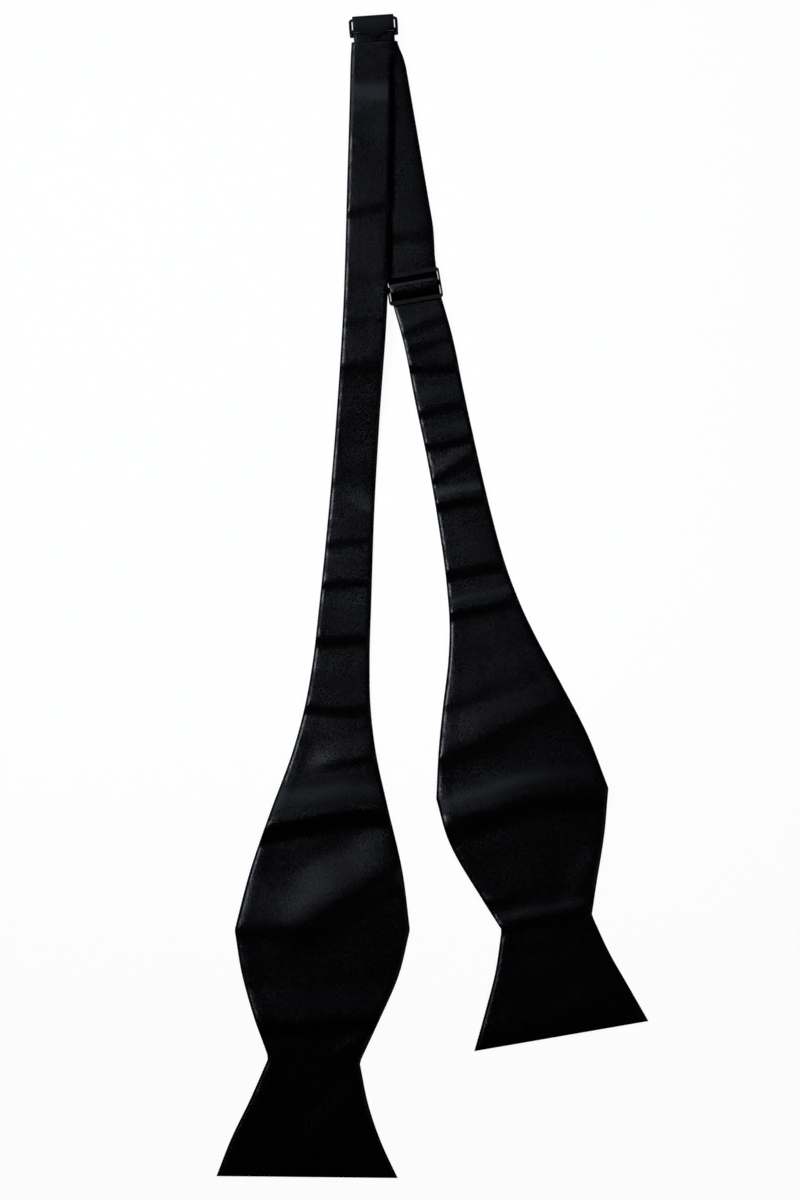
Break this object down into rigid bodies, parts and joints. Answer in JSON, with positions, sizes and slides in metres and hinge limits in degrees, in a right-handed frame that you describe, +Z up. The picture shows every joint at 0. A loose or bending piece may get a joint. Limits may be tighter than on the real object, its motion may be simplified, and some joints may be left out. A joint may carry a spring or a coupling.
{
  "type": "bow tie",
  "caption": "Untied self-tie bow tie in black satin, its two halves hooked together and folded side by side, with a slider that sets the neck size.",
  "frame": {"origin": "on the table, under the middle of the tie's outline as it lies flat", "axes": "+Y from the blade tips towards the hook and eye, +X from the left half towards the right half seen from above, +Z up, away from the table"},
  "size_m": [0.173, 0.4653, 0.0076],
  "materials": {
    "satin_face": "black satin, smooth side out, soft sheen",
    "satin_back": "black satin on the side that lies against the shirt",
    "interlining": "charcoal woven interlining, matt",
    "thread": "black sewing thread",
    "black_enamel": "gloss black enamel on metal"
  },
  "bodies": {
    "right_half": {"right_front_panel": "satin_face", "right_back_panel": "satin_back", "right_interlining": "interlining", "right_seam_thread": "thread", "right_band_lower_run": "satin_face"},
    "slider": {"slider": "black_enamel", "right_band_crossing": "satin_face", "slider_end_loop": "satin_face", "slider_bar_tack": "thread"},
    "eye": {"eye": "black_enamel", "right_band_fold": "satin_face", "right_band_upper_run": "satin_face", "right_band_return_run": "satin_face"},
    "left_half": {"left_front_panel": "satin_face", "left_back_panel": "satin_back", "left_front_band": "satin_face", "left_back_band": "satin_back", "left_interlining": "interlining", "left_seam_thread": "thread", "left_band_loop": "satin_face", "left_bar_tack": "thread", "hook": "black_enamel"}
  },
  "joints": [
    {"name": "neck_size_slide", "type": "slide", "parent": "right_half", "child": "slider", "axis": [-0.1676, 0.9859, 0], "range_m": [-0.03, 0.12], "deforming": ["right_band_lower_run"]},
    {"name": "band_take_up", "type": "slide", "parent": "slider", "child": "eye", "axis": [-0.1676, 0.9859, 0], "range_m": [-0.06, 0.015], "deforming": ["right_band_upper_run", "right_band_return_run"]},
    {"name": "fold_open", "type": "hinge", "parent": "eye", "child": "left_half", "pos_m": [-0.0235, 0.2302, 0.006], "axis": [-0.9976, -0.0698, 0], "range_deg": [0, 180]}
  ],
  "couplings": [
    {"joint": "band_take_up", "follows": "neck_size_slide", "ratio": -0.5}
  ]
}
